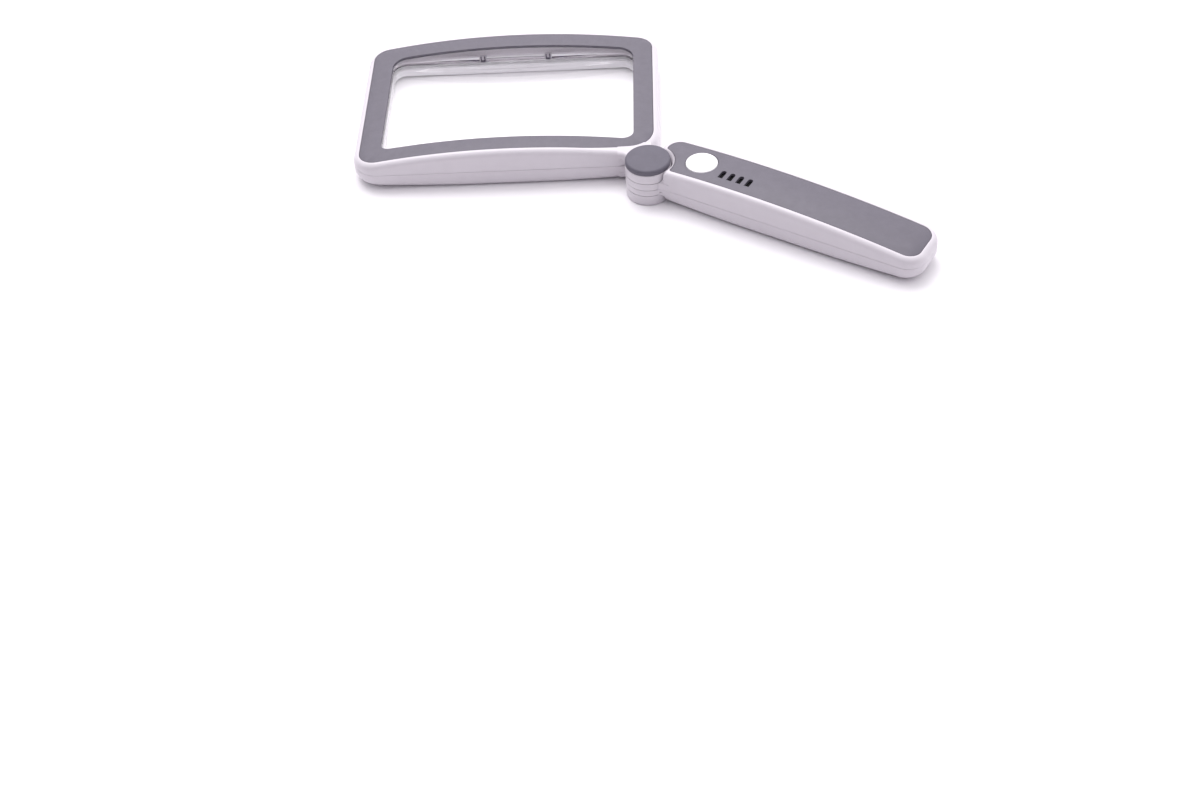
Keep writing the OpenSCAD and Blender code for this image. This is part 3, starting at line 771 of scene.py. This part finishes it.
# lower shell, open for the battery cover
base = handle_line(HEEL, NOTCH_R + 1.4, 1.2, 1.5, (8.5, 8.5, 8.0))
rings = [(step_in(edge, base, w), z) for w, z in under(HEEL, HEEL, 9)]
rings += [(edge, PART - SEAM_H), (seam, PART - SEAM_GAP)]
solid = loft(rings, ends=True)
hollow = loft([(inner, WALL), (inner, PART + 1)], ends=True)
bm = cut(solid, hollow)
opening = rounded(BAY[0], NEAR_N + BAY_IN, BAY[1], FAR_N - BAY_IN, (1.2,) * 4)
bm = cut(bm, loft([(opening, -2.0), (opening, 5.0)], ends=True))
slice_across(bm, 0, REACH)
warp(bm, lambda s, z: belly_rise(s, z, HANDLE_SM))
low = KNUCKLES[0] + GAP
bm = join(bm, knuckle(low, PART - 0.04), tongue(low, PART - 0.04), flare(low + 0.05, 1.6))
piece(as_object(bm, "handle_lower_shell", HANDLE_ANGLE), "handle", "white_shell", WHITE,
      "handle_bottom_shell")

# grip panel with the button's hole and the slots
rings = [(panel_line(GROOVE), HANDLE_TOP - SKIN + 0.02), (panel_line(GROOVE), HANDLE_TOP - 0.28),
         (panel_line(GROOVE + 0.08), HANDLE_TOP - 0.09), (panel_line(GROOVE + 0.28), HANDLE_TOP)]
bm = loft(rings, ends=True)
hole = lathe([(0, 10), (BUTTON_R + 0.15, 10), (BUTTON_R + 0.15, HANDLE_TOP - 0.25),
              (BUTTON_R + 0.24, HANDLE_TOP - 0.08), (hole_r, HANDLE_TOP + 0.05), (hole_r, 30), (0, 30)],
             closed=False, centre=BUTTON)
bm = cut(bm, hole)


def slot_line(i, grow=0.0):
    """Outline of slot i: square at the near end, round at the far end."""
    x, y = SLOT_AT[0] + SLOT_PITCH * i, SLOT_AT[1]
    w = SLOT_W / 2 + grow
    top = y + SLOT_L / 2 - SLOT_W / 2
    low = y - SLOT_L / 2 - grow
    return [(x - w, low), (x + w, low)] + arc((x, top), w, 0, 180, 16) + [(x - w, top)]


for i in range(SLOTS):
    bm = cut(bm, loft([(slot_line(i), 10), (slot_line(i), HANDLE_TOP - 0.12),
                       (slot_line(i, 0.1), HANDLE_TOP + 0.02), (slot_line(i, 0.1), 30)], ends=True))
slice_across(bm, 0, REACH)
warp(bm, handle_drop)
piece(as_object(bm, "grip", HANDLE_ANGLE), "handle", "grey_skin", GREY, "grip_panel")

# dark window behind the slots
bm = loft([(bar_line(0.4), BAR_Z), (bar_line(0.4), BAR_Z + 0.6), (bar_line(), BAR_Z + 0.65),
           (bar_line(), BAR_Z + 1.95), (bar_line(-0.15), BAR_Z + 2.1)], ends=True)
piece(as_object(bm, "dark_window", HANDLE_ANGLE), "handle", "smoked_window", SMOKED, "indicator_window")

# push button: slightly crowned, with a softened edge
top = HANDLE_TOP + 0.1
flange_r, flange_top = BUTTON_R + 0.9, BUTTON_Z + 0.8
pts = [(0, BUTTON_Z), (flange_r, BUTTON_Z), (flange_r, flange_top), (BUTTON_R, flange_top),
       (BUTTON_R, top - 0.7)]
pts += [(BUTTON_R - 0.6 + 0.6 * math.cos(t), top - 0.7 + 0.5 * math.sin(t)) for t in SOFT + (1.5,)]
pts += [(BUTTON_R * f, top - 0.2 + 0.2 * (1 - f * f)) for f in (0.8, 0.6, 0.4, 0.2)] + [(0, top)]
piece(as_object(lathe(pts, closed=False, centre=BUTTON), "push_button", HANDLE_ANGLE),
      "power_button", "white_button", WHITE_GLOSS, "power_button")

# battery cover with a ribbed thumb patch
x0, x1 = BAY[0] + COVER_GAP, BAY[1] - COVER_GAP
y0, y1 = NEAR_N + BAY_IN + COVER_GAP, FAR_N - BAY_IN - COVER_GAP
rings = [(rounded(x0 + 0.5, y0 + 0.9, x1 - 0.5, y1 - 0.9, (0.8,) * 4), 0.02),
         (rounded(x0 + 0.15, y0 + 0.4, x1 - 0.15, y1 - 0.4, (1.0,) * 4), 0.1),
         (rounded(x0, y0, x1, y1, (1.1,) * 4), 0.42), (rounded(x0, y0, x1, y1, (1.1,) * 4), 1.4)]
bm = loft(rings, ends=True)
yc = (y0 + y1) / 2
for i in range(6):
    rib = x1 - 9 + i * 1.2
    line = rounded(rib, yc - 4.5, rib + 0.6, yc + 4.5, (0.29,) * 4)
    bm = cut(bm, loft([(line, -1), (line, 0.45)], ends=True))
hook = rounded(x1 - 1.0, yc - 4, x1, yc + 4, (0.2,) * 4)
bm = join(bm, loft([(hook, 1.3), (hook, 3.2)], ends=True))
piece(as_object(bm, "battery_door", HANDLE_ANGLE), "battery_cover", "white_shell", WHITE, "battery_cover")

# ---- carried-over CAD nodes ----

for name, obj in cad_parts.items():
    slot_name = None
    for m in obj.data.materials:
        if m:
            slot_name = m.name.split(".")[0]
    mat = SLOT_MATERIALS.get(slot_name)
    if mat:
        for i in range(len(obj.data.materials)):
            obj.data.materials[i] = mat

# ---- stage ----

bm = bmesh.new()
bmesh.ops.create_grid(bm, x_segments=8, y_segments=8, size=3.0)
me = bpy.data.meshes.new("floor")
bm.to_mesh(me)
bm.free()
floor = bpy.data.objects.new("floor", me)
floor.location = (0, 0, cad_box[0].z - 0.00005)
bpy.context.scene.collection.objects.link(floor)
me.materials.append(material("pale_floor", (0.93, 0.915, 0.935), 0.7, mottle=0.004))

world = bpy.data.worlds.new("studio")
bpy.context.scene.world = world
world.use_nodes = True
nt = world.node_tree
back = nt.nodes["Background"]
ray = nt.nodes.new("ShaderNodeTexCoord")
blend = nt.nodes.new("ShaderNodeVectorMath")
blend.operation = "DOT_PRODUCT"
blend.inputs[1].default_value = Vector((0.28, 0.56, 0.78)).normalized()
nt.links.new(ray.outputs["Generated"], blend.inputs[0])
sky = nt.nodes.new("ShaderNodeValToRGB")
# dark on the near side, bright overhead and behind
stops = [(0.0, (0.02, 0.016, 0.024)), (0.42, (0.05, 0.042, 0.058)),
         (0.60, (0.75, 0.73, 0.77)), (1.0, (1.0, 0.98, 1.0))]
while len(sky.color_ramp.elements) < len(stops):
    sky.color_ramp.elements.new(0.5)
for e, (pos, col) in zip(sky.color_ramp.elements, stops):
    e.position = pos
    e.color = col + (1,)
half_up = nt.nodes.new("ShaderNodeMath")
half_up.operation = "MULTIPLY_ADD"
half_up.inputs[1].default_value = 0.5
half_up.inputs[2].default_value = 0.5
nt.links.new(blend.outputs["Value"], half_up.inputs[0])
nt.links.new(half_up.outputs[0], sky.inputs["Fac"])
nt.links.new(sky.outputs["Color"], back.inputs["Color"])
back.inputs["Strength"].default_value = 1.3
# the camera itself sees a plain pale backdrop
seen = nt.nodes.new("ShaderNodeBackground")
seen.inputs["Color"].default_value = (0.93, 0.92, 0.94, 1)
choose = nt.nodes.new("ShaderNodeMixShader")
path = nt.nodes.new("ShaderNodeLightPath")
nt.links.new(path.outputs["Is Camera Ray"], choose.inputs["Fac"])
nt.links.new(back.outputs["Background"], choose.inputs[1])
nt.links.new(seen.outputs["Background"], choose.inputs[2])
nt.links.new(choose.outputs["Shader"], nt.nodes["World Output"].inputs["Surface"])

softbox = bpy.data.lights.new("key", "AREA")
softbox.shape, softbox.size, softbox.size_y = "RECTANGLE", 0.9, 0.7
softbox.energy, softbox.color = 8.3, (1.0, 0.985, 1.0)
lamp = bpy.data.objects.new("key", softbox)
lamp.location = (-0.15, 0.45, 1.0)
lamp.rotation_euler = (-lamp.location).to_track_quat("-Z", "Y").to_euler()
bpy.context.scene.collection.objects.link(lamp)

# ---- camera ----

AZ, EL, ROLL = math.radians(3.86), math.radians(44.77), math.radians(-4.7)
AIM = Vector((-19.0, -119.4, 0.0)) * MM
DISTANCE = 660.9 * MM
away = Vector((math.sin(AZ) * math.cos(EL), -math.cos(AZ) * math.cos(EL), math.sin(EL)))
right = (-away).cross(Vector((0, 0, 1))).normalized()
up = right.cross(-away)
right, up = (math.cos(ROLL) * right + math.sin(ROLL) * up, -math.sin(ROLL) * right + math.cos(ROLL) * up)
data = bpy.data.cameras.new("view")
data.lens, data.sensor_width, data.sensor_fit = 54.82, 36.0, "HORIZONTAL"
data.clip_start, data.clip_end = 0.01, 20
camera = bpy.data.objects.new("view", data)
turn = Matrix((right, up, away)).transposed().to_4x4()
camera.matrix_world = Matrix.Translation(AIM + away * DISTANCE) @ turn
bpy.context.scene.collection.objects.link(camera)
bpy.context.scene.camera = camera
bpy.context.scene.view_settings.view_transform = "Standard"
